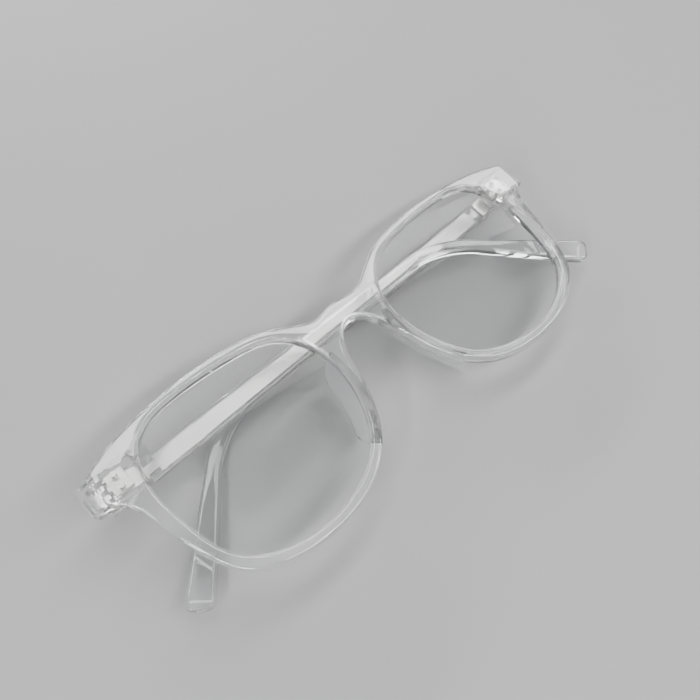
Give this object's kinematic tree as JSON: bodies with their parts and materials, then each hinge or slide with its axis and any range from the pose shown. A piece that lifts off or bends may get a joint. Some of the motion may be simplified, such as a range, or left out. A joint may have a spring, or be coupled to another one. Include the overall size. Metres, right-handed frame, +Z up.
{
  "type": "eyeglasses",
  "caption": "Folded eyeglasses in clear plastic with soft square lenses, fixed nose pads, wire cores in the temples and temples that swing on small barrel hinges.",
  "frame": {"origin": "on the table, under the middle of the folded glasses' bounding box", "axes": "+X across the front towards the wearer's left, +Y towards the brow, +Z up from the table, the way the front's flat face looks"},
  "size_m": [0.1484, 0.051, 0.0186],
  "materials": {
    "clear_plastic": "polished, clear",
    "lens_plastic": "polished, clear",
    "hinge_metal": "satin",
    "core_metal": "rolled, satin"
  },
  "bodies": {
    "front": {"frame_front": "clear_plastic", "lens_right": "lens_plastic", "nose_pad_right": "clear_plastic", "front_hinge_right": "hinge_metal", "hinge_screw_right": "hinge_metal", "lens_left": "lens_plastic", "nose_pad_left": "clear_plastic", "front_hinge_left": "hinge_metal", "hinge_screw_left": "hinge_metal"},
    "temple_right": {"temple_right": "clear_plastic", "temple_core_right": "core_metal", "temple_hinge_right": "hinge_metal"},
    "temple_left": {"temple_left": "clear_plastic", "temple_core_left": "core_metal", "temple_hinge_left": "hinge_metal"}
  },
  "joints": [
    {"name": "temple_right_fold", "type": "hinge", "parent": "front", "child": "temple_right", "pos_m": [-0.06948, 0.0158, 0.0099], "axis": [0, 0.9966, 0.0823], "range_deg": [0, 90]},
    {"name": "temple_left_fold", "type": "hinge", "parent": "front", "child": "temple_left", "pos_m": [0.0692, 0.01627, 0.00428], "axis": [0, -0.9966, -0.0823], "range_deg": [0, 87]}
  ]
}
